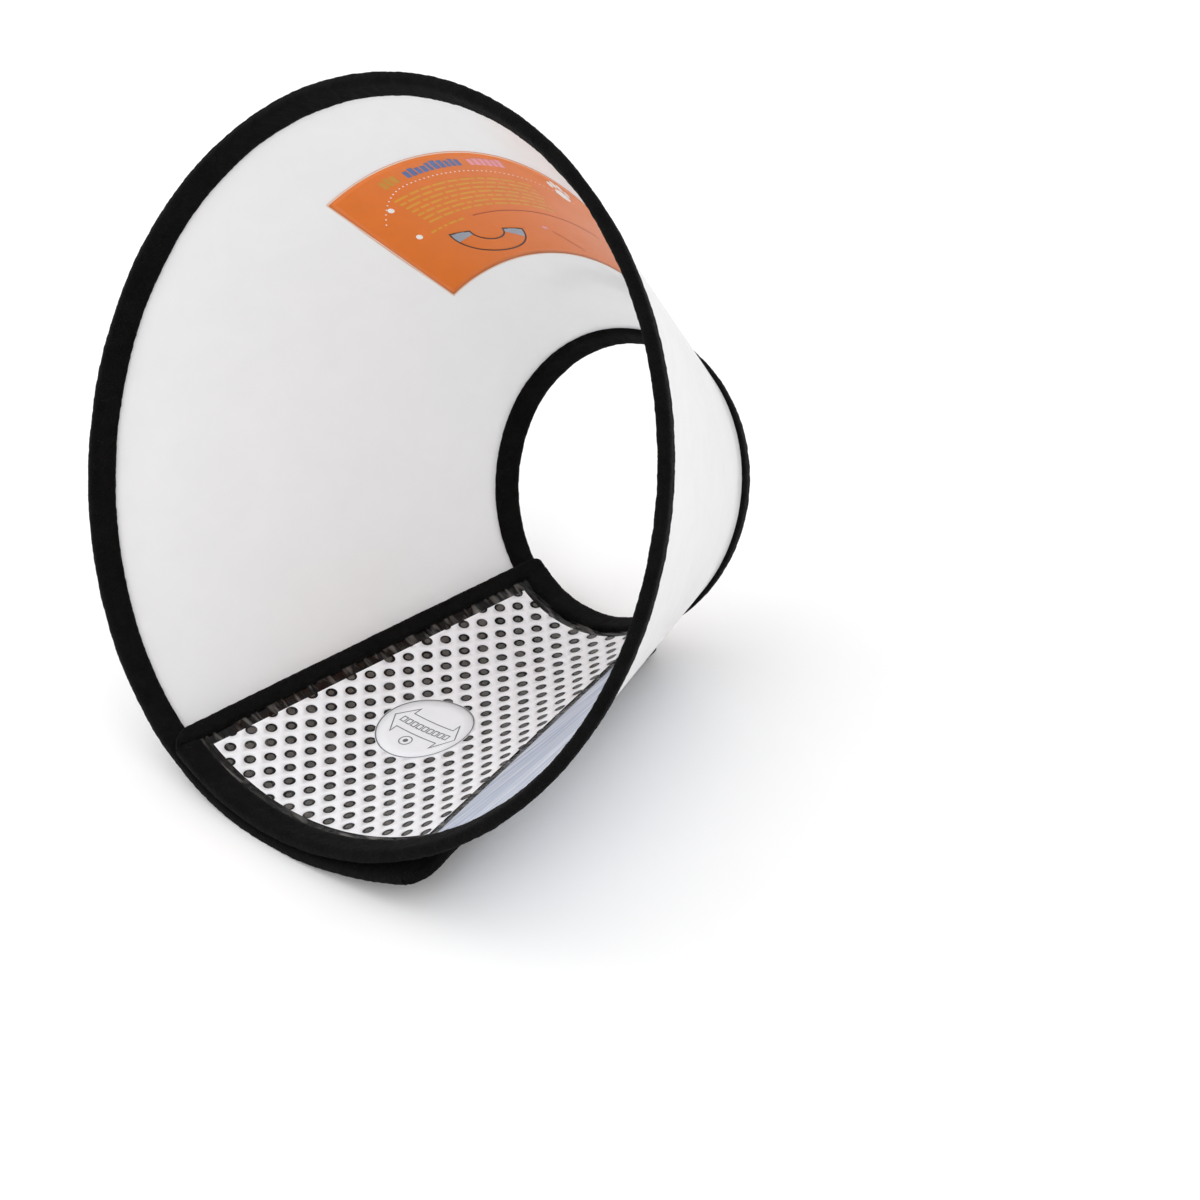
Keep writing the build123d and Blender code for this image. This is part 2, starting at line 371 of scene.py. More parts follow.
def strips_from_grid(name, flat, row_angles, materials):
    """Cuts a closed grid of flat-pattern points into strips at the rows half-way between hinges."""
    normals = grid_normals(flat)
    for k in range(len(HINGES)):
        low, high = strip_limits(k)
        rows = [i for i, angle in enumerate(row_angles) if low - 1e-9 <= angle <= high + 1e-9]
        part = flat[rows].reshape(-1, 3)
        points, turned = roll(to_polar(part), normals[rows].reshape(-1, 3))
        faces = grid_faces(len(rows), flat.shape[1])
        piece = new_piece(f"{name}_{k:02d}", points, turned, faces, materials, part[:, :2])
        stands_for(name, k)
        bend(piece)


def cut_mesh(mesh, point, direction, keep=False):
    """Cuts a mesh by a plane. What lies beyond it, in the direction given, is removed unless it is kept."""
    bmesh.ops.bisect_plane(
        mesh, geom=mesh.verts[:] + mesh.edges[:] + mesh.faces[:], dist=1e-7,
        plane_co=point, plane_no=direction, clear_outer=not keep,
    )


def strips_from_mesh(name, kind, mesh, materials):
    """Cuts a flat bmesh into strips and rolls them up. Its vertices' normals are kept across the cuts."""
    mesh.normal_update()
    layer = mesh.verts.layers.float_vector.new("flat_normal")
    for v in mesh.verts:
        v[layer] = v.normal
    polar = to_polar(np.array([v.co for v in mesh.verts]))
    for v, p in zip(mesh.verts, polar):
        v.co = p
    made = []
    for k in range(len(HINGES)):
        low, high = strip_limits(k)
        part = mesh.copy()
        if low > -9:
            cut_mesh(part, (0, low, 0), (0, -1, 0))
        if high < 9:
            cut_mesh(part, (0, high, 0), (0, 1, 0))
        if part.faces:
            layer = part.verts.layers.float_vector["flat_normal"]
            part.verts.index_update()
            polar = np.array([v.co for v in part.verts])
            flat_normals = np.array([v[layer] for v in part.verts])
            flat_normals /= np.maximum(np.linalg.norm(flat_normals, axis=1), 1e-12)[:, None]
            points, turned = roll(polar, flat_normals)
            faces = [[v.index for v in f.verts] for f in part.faces]
            slots = [f.material_index for f in part.faces]
            pattern = to_flat(polar)[:, :2]
            piece = new_piece(f"{name}_{k:02d}", points, turned, faces, materials, pattern, slots)
            stands_for(kind, k)
            bend(piece)
            made.append(piece)
        part.free()
    mesh.free()
    return made


# Materials

def new_material(name):
    """A node material, with its nodes, its links and its Principled shader."""
    material = bpy.data.materials.new(name)
    material.use_nodes = True
    tree = material.node_tree
    return material, tree.nodes, tree.links, tree.nodes["Principled BSDF"]


def scaled(nodes, links, vector, scale):
    mapping = nodes.new("ShaderNodeMapping")
    mapping.inputs["Scale"].default_value = scale
    links.new(vector, mapping.inputs["Vector"])
    return mapping.outputs["Vector"]


def pattern_coordinates(nodes, links, scale):
    """The flat pattern's x and y, in metres, times scale."""
    source = nodes.new("ShaderNodeUVMap")
    source.uv_map = "pattern"
    return scaled(nodes, links, source.outputs["UV"], scale)


def object_coordinates(nodes):
    return nodes.new("ShaderNodeTexCoord").outputs["Object"]


def add_noise(nodes, links, vector, scale, detail=4.0, distortion=0.0):
    texture = nodes.new("ShaderNodeTexNoise")
    texture.inputs["Scale"].default_value = scale
    texture.inputs["Detail"].default_value = detail
    texture.inputs["Distortion"].default_value = distortion
    links.new(vector, texture.inputs["Vector"])
    return texture.outputs["Fac"]


def add_ramp(nodes, links, source, low, high, dark, light):
    """A colour ramp between two colours over part of the source's range."""
    ramp = nodes.new("ShaderNodeValToRGB")
    ramp.color_ramp.elements[0].position = low
    ramp.color_ramp.elements[1].position = high
    ramp.color_ramp.elements[0].color = (*dark, 1)
    ramp.color_ramp.elements[1].color = (*light, 1)
    links.new(source, ramp.inputs["Fac"])
    return ramp.outputs["Color"]


def add_range(nodes, links, source, low, high):
    """The source, from 0 to 1, spread over low to high."""
    spread = nodes.new("ShaderNodeMapRange")
    spread.inputs["To Min"].default_value = low
    spread.inputs["To Max"].default_value = high
    links.new(source, spread.inputs["Value"])
    return spread.outputs["Result"]


def add_bump(nodes, links, source, distance, strength, shader, below=None):
    bump = nodes.new("ShaderNodeBump")
    bump.inputs["Distance"].default_value = distance
    bump.inputs["Strength"].default_value = strength
    links.new(source, bump.inputs["Height"])
    if below is not None:
        links.new(below, bump.inputs["Normal"])
    links.new(bump.outputs["Normal"], shader.inputs["Normal"])
    return bump.outputs["Normal"]


def plush_material(name, dark, light, pile_scale):
    """Black brushed pile: fibre-sized mottling, sheen, and a soft nap that leans in patches."""
    material, nodes, links, shader = new_material(name)
    place = object_coordinates(nodes)
    pile = add_noise(nodes, links, place, pile_scale, 3.0, 0.4)
    nap = add_noise(nodes, links, place, pile_scale / 12, 3.0, 0.8)
    mix = nodes.new("ShaderNodeMath")
    mix.operation = "MULTIPLY_ADD"
    mix.inputs[1].default_value = 0.55
    links.new(pile, mix.inputs[0])
    half = nodes.new("ShaderNodeMath")
    half.operation = "MULTIPLY"
    half.inputs[1].default_value = 0.45
    links.new(nap, half.inputs[0])
    links.new(half.outputs["Value"], mix.inputs[2])
    colour = add_ramp(nodes, links, mix.outputs["Value"], 0.35, 0.68, dark, light)
    links.new(colour, shader.inputs["Base Color"])
    links.new(add_range(nodes, links, nap, 0.86, 1.0), shader.inputs["Roughness"])
    shader.inputs["Specular IOR Level"].default_value = 0.08
    shader.inputs["Sheen Weight"].default_value = 0.025
    shader.inputs["Sheen Roughness"].default_value = 0.4
    shader.inputs["Sheen Tint"].default_value = (0.6, 0.6, 0.62, 1)
    add_bump(nodes, links, pile, 0.0006, 0.8, shader)
    return material


def end_coordinates(nodes, links, scale):
    """Pattern coordinates turned to run along the hook end, then scaled."""
    flat = nodes.new("ShaderNodeUVMap")
    flat.uv_map = "pattern"
    spin = nodes.new("ShaderNodeMapping")
    spin.vector_type = "TEXTURE"
    spin.inputs["Rotation"].default_value = (0, 0, flat_angle(HOOK_END) + radians(HOOK_END_SKEW))
    links.new(flat.outputs["UV"], spin.inputs["Vector"])
    return scaled(nodes, links, spin.outputs["Vector"], scale)


def sheet_material(name, darker, lighter, streaks_at):
    """Milky semi-gloss plastic: light comes through it, with drawn-out streaks and slight waviness. With
    bluish colours the streaks are a painted reflection.
    """
    material, nodes, links, shader = new_material(name)
    streaks = add_noise(nodes, links, streaks_at(nodes, links), 1.0, 5.0, 1.2)
    waves = add_noise(nodes, links, pattern_coordinates(nodes, links, (9, 9, 9)), 1.0, 2.0)
    grain = add_noise(nodes, links, object_coordinates(nodes), 900.0, 2.0)
    tint = add_ramp(nodes, links, streaks, 0.3, 0.7, darker, lighter)
    links.new(tint, shader.inputs["Base Color"])
    links.new(add_range(nodes, links, streaks, 0.14, 0.22), shader.inputs["Roughness"])
    shader.inputs["IOR"].default_value = 1.5
    shader.inputs["Specular IOR Level"].default_value = 0.42
    waviness = add_bump(nodes, links, waves, 0.0015, 0.15, shader)
    add_bump(nodes, links, grain, 0.00005, 0.08, shader, waviness)
    through = nodes.new("ShaderNodeBsdfTranslucent")
    links.new(tint, through.inputs["Color"])
    mixed = nodes.new("ShaderNodeMixShader")
    mixed.inputs["Fac"].default_value = 0.45
    links.new(shader.outputs["BSDF"], mixed.inputs[1])
    links.new(through.outputs["BSDF"], mixed.inputs[2])
    links.new(mixed.outputs["Shader"], nodes["Material Output"].inputs["Surface"])
    return material


def backed_sheet_material():
    """The same sheet with black tape behind it: black and glossy, with bright crinkles at its border painted
    in as highlights.
    """
    material, nodes, links, shader = new_material("sheet_over_black")
    crinkle = add_noise(nodes, links, end_coordinates(nodes, links, (330, 75, 1)), 1.0, 2.0, 0.5)
    folds = add_noise(nodes, links, pattern_coordinates(nodes, links, (60, 60, 60)), 1.0, 2.0, 1.0)
    # Painted highlight: the pale end of the ramp lights the crinkles' ridges.
    colour = add_ramp(nodes, links, crinkle, 0.52, 0.78, (0.0035, 0.0033, 0.0033), (0.16, 0.15, 0.14))
    links.new(colour, shader.inputs["Base Color"])
    links.new(add_range(nodes, links, folds, 0.10, 0.30), shader.inputs["Roughness"])
    shader.inputs["IOR"].default_value = 1.45
    shader.inputs["Specular IOR Level"].default_value = 0.22
    folded = add_bump(nodes, links, folds, 0.004, 0.5, shader)
    add_bump(nodes, links, crinkle, 0.0015, 0.6, shader, folded)
    return material


def print_and_glint_material(name, colour, shade, roughness):
    """Ink, film and the painted glint dots in the holes: an even colour with faint mottling and a light satin
    grain.
    """
    material, nodes, links, shader = new_material(name)
    place = pattern_coordinates(nodes, links, (1, 1, 1))
    mottle = add_noise(nodes, links, place, 120.0, 4.0)
    grain = add_noise(nodes, links, place, 1500.0, 2.0)
    darker = tuple(c * shade for c in colour)
    links.new(add_ramp(nodes, links, mottle, 0.3, 0.7, darker, colour), shader.inputs["Base Color"])
    links.new(add_range(nodes, links, grain, roughness * 0.8, roughness * 1.25), shader.inputs["Roughness"])
    add_bump(nodes, links, grain, 0.0001, 0.15, shader)
    return material


def tape_material():
    """Black hook tape: rows of fine moulded hooks, painted lighter on their tops and darker between them as
    shade.
    """
    material, nodes, links, shader = new_material("hook_tape")
    place = pattern_coordinates(nodes, links, (700, 700, 700))
    hooks = nodes.new("ShaderNodeTexVoronoi")
    hooks.inputs["Randomness"].default_value = 0.35
    hooks.inputs["Scale"].default_value = 1.0
    links.new(place, hooks.inputs["Vector"])
    distance = hooks.outputs["Distance"]
    # Painted shade: darker between the hooks, lighter on their raised tops.
    colour = add_ramp(nodes, links, distance, 0.1, 0.6, (0.045, 0.045, 0.048), (0.010, 0.010, 0.011))
    links.new(colour, shader.inputs["Base Color"])
    links.new(add_range(nodes, links, distance, 0.42, 0.7), shader.inputs["Roughness"])
    add_bump(nodes, links, distance, 0.0008, 1.0, shader).node.invert = True
    return material


PLUSH = plush_material("plush_binding", (0.0012, 0.0011, 0.0011), (0.0062, 0.0058, 0.0056), 1900.0)
FLEECE = plush_material("loop_fleece", (0.0014, 0.0014, 0.0014), (0.009, 0.009, 0.0092), 1300.0)
SHEET = sheet_material(
    "frosted_sheet", (0.895, 0.895, 0.899), (0.91, 0.91, 0.913),
    partial(pattern_coordinates, scale=(60, 60, 60)),
)
# Painted reflection: bluish streaks on the sheet beside the hook patch.
REFLECTION_STREAK_SHEET = sheet_material(
    "sheet_painted_reflection", (0.47, 0.54, 0.68), (0.93, 0.94, 0.97),
    partial(end_coordinates, scale=(14, 420, 1)),
)
BACKED = backed_sheet_material()
TAPE = tape_material()
FILM = print_and_glint_material("white_film", (0.86, 0.86, 0.885), 0.965, 0.42)
DISC_WHITE = print_and_glint_material("disc_paper", (0.85, 0.86, 0.89), 0.97, 0.38)
DISC_LINE = print_and_glint_material("disc_ink", (0.16, 0.165, 0.18), 0.85, 0.5)
# Painted highlight: the paler dots in the film's holes stand in for a glint on the hook tape.
GLINT_DOT = print_and_glint_material("hole_glint", (0.085, 0.077, 0.070), 0.45, 0.4)
LABEL_ORANGE = print_and_glint_material("label_orange", (0.76, 0.175, 0.014), 0.95, 0.3)
LABEL_EDGE = print_and_glint_material("label_edge", (0.80, 0.62, 0.50), 0.95, 0.4)
INK = {
    "gold": print_and_glint_material("ink_gold", (0.60, 0.27, 0.022), 0.9, 0.3),
    "yellow": print_and_glint_material("ink_yellow", (0.74, 0.33, 0.02), 0.93, 0.3),
    "blue": print_and_glint_material("ink_blue", (0.085, 0.16, 0.36), 0.9, 0.3),
    "pink": print_and_glint_material("ink_pink", (0.82, 0.32, 0.38), 0.93, 0.3),
    "white": print_and_glint_material("ink_white", (0.88, 0.86, 0.84), 0.96, 0.3),
    "black": print_and_glint_material("ink_black", (0.035, 0.02, 0.018), 0.8, 0.3),
    "grey": print_and_glint_material("ink_grey", (0.33, 0.36, 0.42), 0.92, 0.3),
    "red": print_and_glint_material("ink_red", (0.42, 0.055, 0.015), 0.9, 0.3),
}


# The clear sheet

def border_of(skin):
    """A skin's outermost points, in order round it."""
    start, end = [r[0] for r in skin[:-1]], [r[-1] for r in skin[:0:-1]]
    return start + skin[-1][:-1] + end + skin[0][:0:-1]


def thin_layer(outline, height, thickness, step):
    """A flat closed layer as a bmesh, from a grid over the outline's slants and angles."""
    low, high, start, end = outline
    mesh = bmesh.new()
    count = max(2, ceil((high - low) / step))
    rows = []
    for i in range(count + 1):
        slant = low + (high - low) * i / count
        first, last = start(slant), end(slant)
        columns = max(2, ceil((end(high) - start(high)) * high / step))
        rows.append([(slant, first + (last - first) * j / columns) for j in range(columns + 1)])
    skins = []
    for z in (height + thickness, height):
        skins.append([[mesh.verts.new((s * cos(a), s * sin(a), z)) for s, a in row] for row in rows])
    for top, skin in zip((True, False), skins):
        for r, next_r in zip(skin, skin[1:]):
            for a, b, c, d in zip(r, r[1:], next_r[1:], next_r):
                mesh.faces.new((d, c, b, a) if top else (a, b, c, d))
    border, under = [border_of(skin) for skin in skins]
    for i in range(len(border)):
        j = (i + 1) % len(border)
        mesh.faces.new((border[i], border[j], under[j], under[i]))
    bmesh.ops.recalc_face_normals(mesh, faces=mesh.faces[:])
    return mesh


def cut_by_edge(mesh, turn, skew, side, inset=0.0, keep=False):
    """Cuts a flat mesh along a straight edge of the pattern. What lies beyond goes unless it is kept."""
    lean = flat_angle(turn) + radians(skew)
    normal = Vector((-sin(lean), cos(lean), 0)) * side
    corner = Vector((*flat_point(RIM_SLANT, turn), 0)) + normal * inset
    cut_mesh(mesh, corner, -normal, keep)


def make_sheet():
    """The sheet, tucked into its bindings. Where black tape or fleece lies behind it, it looks black. Beside
    the hook patch it carries painted bluish reflection streaks.
    """
    start, end = partial(hook_edge, inset=SHEET_TUCK), partial(loop_edge, inset=SHEET_TUCK)
    outline = (NECK_SLANT + SHEET_TUCK, RIM_SLANT - SHEET_TUCK, start, end)
    mesh = thin_layer(outline, -SHEET_THICK / 2, SHEET_THICK, SHEET_STEP)
    cut_by_edge(mesh, HOOK_PATCH_TURN, -HOOK_PATCH_SKEW, -1, keep=True)
    cut_by_edge(mesh, REFLECTION_STREAKS_TURN, -HOOK_PATCH_SKEW, -1, keep=True)
    cut_by_edge(mesh, LOOP_PAD_TURN, LOOP_PAD_SKEW, 1, keep=True)
    for f in mesh.faces:
        middle = f.calc_center_median()
        slant, angle = hypot(middle.x, middle.y), atan2(middle.y, middle.x)
        if angle < hook_patch_edge(slant) or angle > loop_pad_edge(slant):
            f.material_index = 1
        # Faces beside the hook patch get the painted bluish reflection streaks.
        elif angle < edge_angle(slant, REFLECTION_STREAKS_TURN, -HOOK_PATCH_SKEW):
            f.material_index = 2
    strips_from_mesh("sheet", "sheet", mesh, [SHEET, BACKED, REFLECTION_STREAK_SHEET])


# The plush bindings

def binding_profile():
    """Evenly spaced points round a folded plush strip seen end on: (distance from its free edge, height)."""
    half_width, half_thick = BINDING_WIDTH / 2, BINDING_THICK / 2
    fine = []
    for i in range(720):
        a = 2 * pi * i / 720
        w = abs(cos(a)) ** (2 / 5.0) * (1 if cos(a) > 0 else -1)
        h = abs(sin(a)) ** (2 / 3.2) * (1 if sin(a) > 0 else -1)
        lean = 1 - 0.10 * (w + 1) / 2
        fine.append((half_width * (1 + w), half_thick * h * lean))
    fine = np.array(fine + fine[:1])
    lengths = np.concatenate([[0], np.cumsum(np.linalg.norm(np.diff(fine, axis=0), axis=1))])
    count = round(lengths[-1] / PILE_STEP)
    stations = [lengths[-1] * i / count for i in range(count)]
    return np.column_stack([np.interp(stations, lengths, fine[:, axis]) for axis in (0, 1)])


def roughen(grid, seed):
    """Moves a grid's points along its normals, as uneven pile does."""
    normals = grid_normals(grid)
    flat = grid.reshape(-1, 3)
    moves = []
    for x, y, z in flat:
        pile = noise.noise(Vector((x, y, z)) * 1100 + Vector((seed, 0, 0)))
        tufts = noise.noise(Vector((x, y, z)) * 420 + Vector((0, seed, 0)))
        sag = noise.noise(Vector((x, y, 0)) * 60 + Vector((0, 0, seed)))
        moves.append(PILE_ROUGHNESS * (0.55 * pile + 0.75 * tufts + 0.8 * sag))
    return grid + normals * np.array(moves).reshape(grid.shape[:2])[..., None]


def edge_binding(name, free_slant, inwards, seed):
    """The plush strip along the rim or the neck, from end binding to end binding."""
    profile = binding_profile()
    if inwards > 0:
        profile = profile[::-1]
    overlap = BINDING_WIDTH * 0.7
    start, end = hook_edge(free_slant, overlap), loop_edge(free_slant, overlap)
    angles = rows_for(start, end, PILE_STEP / free_slant)
    slants = free_slant + inwards * profile[:, 0]
    grid = np.zeros((len(angles), len(profile), 3))
    for i, angle in enumerate(angles):
        grid[i, :, 0] = slants * cos(angle)
        grid[i, :, 1] = slants * sin(angle)
        grid[i, :, 2] = profile[:, 1]
    strips_from_grid(name, roughen(grid, seed), angles, [PLUSH])


def end_binding(name, rim_turn, skew, side, width, seed):
    """The plush strip over one straight end of the sheet, with rounded outer corners, riding one body."""
    profile = binding_profile()
    if side > 0:
        profile = profile[::-1]
    length = RIM_SLANT - NECK_SLANT
    count = round(length / PILE_STEP)
    grid = []
    for i in range(count + 1):
        x = length * i / count
        slant = RIM_SLANT - x
        near_rim, near_neck = max(0.0, 1 - x / RIM_CORNER), max(0.0, 1 - (length - x) / NECK_CORNER)
        pull = RIM_CORNER * (1 - sqrt(max(0.0, 1 - near_rim ** 2)))
        pull = max(pull, NECK_CORNER * (1 - sqrt(max(0.0, 1 - near_neck ** 2))))
        tip = min(x, length - x) / (BINDING_THICK / 2)
        thick = sqrt(max(0.0, 1 - (1 - min(1.0, tip)) ** 2))
        row = []
        for w, h in profile:
            across = pull + w / BINDING_WIDTH * max(width - pull, 0.0)
            angle = edge_angle(slant, rim_turn, skew, side * across)
            row.append((slant * cos(angle), slant * sin(angle), h * thick))
        grid.append(row)
    grid = roughen(np.array(grid), seed)
    normals = grid_normals(grid)
    flat = grid.reshape(-1, 3)
    points, turned = roll(to_polar(flat), normals.reshape(-1, 3))
    faces = grid_faces(len(grid), len(profile))
    faces.append(tuple(range(len(profile) - 1, -1, -1)))
    faces.append(tuple(range(len(flat) - len(profile), len(flat))))
    piece = new_piece(name, points, turned, faces, [PLUSH], flat[:, :2])
    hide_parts(name)
    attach(piece, panel(0) if side > 0 else panel(LAST_PANEL))


# The closure

def between_bindings():
    """The slants that a patch between the neck and rim bindings runs between."""
    return NECK_SLANT + BINDING_WIDTH - PATCH_TUCK, RIM_SLANT - BINDING_WIDTH + PATCH_TUCK


def make_hook_tape():
    """Black hook tape on the outside of the sheet, over the whole hook patch."""
    start = partial(hook_edge, inset=HOOK_BINDING_WIDTH - PATCH_TUCK)
    outline = (*between_bindings(), start, hook_patch_edge)
    height = -SHEET_THICK / 2 - HOOK_TAPE_THICK
    mesh = thin_layer(outline, height, HOOK_TAPE_THICK - STUCK_ON, SHEET_STEP)
    made = strips_from_mesh("hook_tape", "hook_tape", mesh, [TAPE])
    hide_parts("hook_tape_02")


def hole_centres():
    """The film's holes, a staggered grid over the hook patch, and the direction of its rows."""
    lean = flat_angle(HOOK_END + HOLE_LEAN_TURN) + radians(HOLE_LEAN)
    along = np.array((cos(lean), sin(lean))) * HOLE_PITCH_ALONG / 2
    across = np.array((-sin(lean), cos(lean))) * HOLE_PITCH_ACROSS / 2
    first = np.array(flat_point(*FIRST_HOLE))
    reach = int(2 * RIM_SLANT / HOLE_PITCH_ACROSS)
    centres = []
    for i in range(-reach, reach):
        for j in range(-reach, reach):
            x, y = first + along * i + across * j
            slant, angle = hypot(x, y), atan2(y, x)
            if (i + j) % 2 == 0 and NECK_SLANT < slant < RIM_SLANT and angle < 0:
                if hook_edge(slant) < angle < hook_patch_edge(slant, -HOLE_OVERRUN):
                    centres.append((x, y))
    return centres, lean


def trim_to_film(mesh):
    """Cuts a flat mesh to the film's outline."""
    cut_by_edge(mesh, HOOK_END, HOOK_END_SKEW, 1, HOOK_BINDING_WIDTH + FILM_MARGIN)
    cut_by_edge(mesh, HOOK_PATCH_TURN, -HOOK_PATCH_SKEW, -1, FILM_FAR_MARGIN)
    to_arcs(mesh, FILM_NECK_SLANT, FILM_RIM_SLANT)


def make_hook_film():
    """The white film: a diamond with a round hole for every centre, trimmed to the patch."""
    centres, lean = hole_centres()
    corners = [(HOLE_PITCH_ALONG / 2, 0), (0, HOLE_PITCH_ACROSS / 2)]
    corners += [(-x, -y) for x, y in corners]
    edge = []
    for (ax, ay), (bx, by) in zip(corners, corners[1:] + corners[:1]):
        for i in range(HOLE_SIDES):
            edge.append((ax + (bx - ax) * i / HOLE_SIDES, ay + (by - ay) * i / HOLE_SIDES))
    turned = Matrix.Rotation(lean, 2)
    mesh = bmesh.new()
    top = SHEET_THICK / 2 + FILM_THICK
    for cx, cy in centres:
        rings = [[], [], []]
        for x, y in edge:
            out = Vector((x, y))
            hole = out.normalized() * HOLE_RADIUS
            for ring, point, z in zip(rings, (out, hole, hole), (top, top, top - FILM_THICK)):
                place = turned @ point
                ring.append(mesh.verts.new((cx + place.x, cy + place.y, z)))
        for i in range(len(edge)):
            j = (i + 1) % len(edge)
            mesh.faces.new((rings[0][i], rings[0][j], rings[1][j], rings[1][i]))
            mesh.faces.new((rings[1][i], rings[1][j], rings[2][j], rings[2][i]))
    bmesh.ops.remove_doubles(mesh, verts=mesh.verts[:], dist=1e-5)
    trim_to_film(mesh)
    made = strips_from_mesh("hook_film", "hook_film", mesh, [FILM])
    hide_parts("hook_film_02")


def to_arcs(mesh, low, high):
    """Trims a flat mesh to between two slants."""
    for v in mesh.verts:
        v.co = (hypot(v.co.x, v.co.y), atan2(v.co.y, v.co.x), v.co.z)
    cut_mesh(mesh, (low, 0, 0), (-1, 0, 0))
    cut_mesh(mesh, (high, 0, 0), (1, 0, 0))
    for v in mesh.verts:
        v.co = (v.co.x * cos(v.co.y), v.co.x * sin(v.co.y), v.co.z)


def make_hole_dots():
    """The hook tape's bosses in the middle of the holes, a little paler than the dark round them: a painted
    glint.
    """
    mesh = bmesh.new()
    random.seed(4)
    low, high = [SHEET_THICK / 2 + height for height in BOSS_HEIGHTS]
    for cx, cy in hole_centres()[0]:
        radius = HOLE_RADIUS * random.uniform(*BOSS_SIZES)
        cx += random.uniform(-BOSS_SHIFT, BOSS_SHIFT)
        cy += random.uniform(-BOSS_SHIFT, BOSS_SHIFT)
        rim = [mesh.verts.new((x, y, low)) for x, y in disc_points(cx, cy, radius, 12)]
        peak = mesh.verts.new((cx, cy, high))
        for a, b in zip(rim, rim[1:] + rim[:1]):
            mesh.faces.new((a, b, peak))
    trim_to_film(mesh)
    strips_from_mesh("hook_boss_glint", "none", mesh, [GLINT_DOT])


def make_loop_pad():
    """The fleece pad: a thick nap inside the bindings at the loop end, thinner at its own edge."""
    outline = (*between_bindings(), loop_pad_edge, partial(loop_edge, inset=BINDING_WIDTH - PATCH_TUCK))
    mesh = thin_layer(outline, SHEET_THICK / 2 + STUCK_ON, LOOP_PAD_THICK, FLEECE_STEP)
    middle = SHEET_THICK / 2 + LOOP_PAD_THICK / 2
    for v in mesh.verts:
        if v.co.z > middle:
            rough = noise.noise(v.co * 900) * 0.00014 + noise.noise(v.co * 260) * 0.00016
            slant, angle = hypot(v.co.x, v.co.y), atan2(v.co.y, v.co.x)
            inside = min((angle - loop_pad_edge(slant)) * slant, PAD_EDGE) / PAD_EDGE
            v.co.z += rough - PAD_EDGE_DROP * (1 - inside)
    strips_from_mesh("loop_pad", "loop_pad", mesh, [FLEECE])


# Printing: every mark is a thin flat shape laid on its sticker

def mark(mesh, points, z, slot):
    """A flat shape of ink from its outline."""
    face = mesh.faces.new([mesh.verts.new((x, y, z)) for x, y in points])
    face.material_index = slot
    face.normal_update()
    if face.normal.z < 0:
        face.normal_flip()


def ribbon(mesh, points, width, z, slot, closed=False):
    """A line of ink of one width through the points, in steps short enough to follow the cone's curve."""
    path = []
    for i, p in enumerate(points):
        path.append(Vector((*p, 0)))
        if i < len(points) - 1 or closed:
            step = Vector((*points[(i + 1) % len(points)], 0)) - path[-1]
            count = ceil(step.length / INK_STEP)
            path += [path[-1] + step * (j / count) for j in range(1, count)]
    left, right = [], []
    for i, p in enumerate(path):
        before = path[i - 1] if i > 0 or closed else p
        after = path[(i + 1) % len(path)] if i < len(path) - 1 or closed else p
        a, b = (p - before).normalized(), (after - p).normalized()
        along = (a + b).normalized() if (a + b).length > 0 else a
        side = Vector((-along.y, along.x, 0))
        reach = width / 2 / max(0.4, abs(side.dot(Vector((-b.y, b.x, 0)) if b.length else side)))
        left.append(mesh.verts.new((*(p + side * reach).xy, z)))
        right.append(mesh.verts.new((*(p - side * reach).xy, z)))
    for i in range(len(path) if closed else len(path) - 1):
        j = (i + 1) % len(path)
        face = mesh.faces.new((right[i], right[j], left[j], left[i]))
        face.material_index = slot


def disc_points(cx, cy, radius, count):
    turns = [2 * pi * i / count for i in range(count)]
    return [(cx + radius * cos(t), cy + radius * sin(t)) for t in turns]


def pattern_point(slant, angle):
    return slant * cos(angle), slant * sin(angle)


def place_marks(mesh, slant, turn):
    """Moves marks drawn about their own middle onto the pattern: x with rising turn, y to the neck."""
    angle = flat_angle(turn)
    spin = Matrix.Rotation(angle + pi / 2, 4, "Z")
    move = Matrix.Translation((slant * cos(angle), slant * sin(angle), 0))
    bmesh.ops.transform(mesh, matrix=move @ spin, verts=mesh.verts[:])


def draw_disc_marks(mesh, ink):
    """A thin ring, a double-headed arrow, a row of plain boxes in it and a ringed dot below it."""
    ribbon(mesh, disc_points(0, 0, DISC_RADIUS - 0.0004, DISC_SIDES), 0.00045, ink, 1, closed=True)
    head, neck, shaft, tip = 0.0080, 0.0098, 0.0045, 0.0150
    arrow = [(-tip, 0), (-neck, head), (-neck, shaft), (neck, shaft), (neck, head), (tip, 0)]
    arrow += [(neck, -head), (neck, -shaft), (-neck, -shaft), (-neck, -head)]
    ribbon(mesh, arrow, DISC_LINE_WIDTH, ink, 1, closed=True)
    pitch, half, tall = 0.00265, 0.0009, 0.0013
    for i in range(-4, 5):
        low, high = i * pitch - half, i * pitch + half
        box = [(low, -tall), (high, -tall), (high, tall), (low, tall)]
        ribbon(mesh, box, DISC_LINE_WIDTH, ink, 1, closed=True)
    ribbon(mesh, disc_points(-0.001, -0.0088, 0.0024, 24), DISC_LINE_WIDTH, ink, 1, closed=True)
    mark(mesh, disc_points(-0.001, -0.0088, 0.0010, 16), ink, 1)


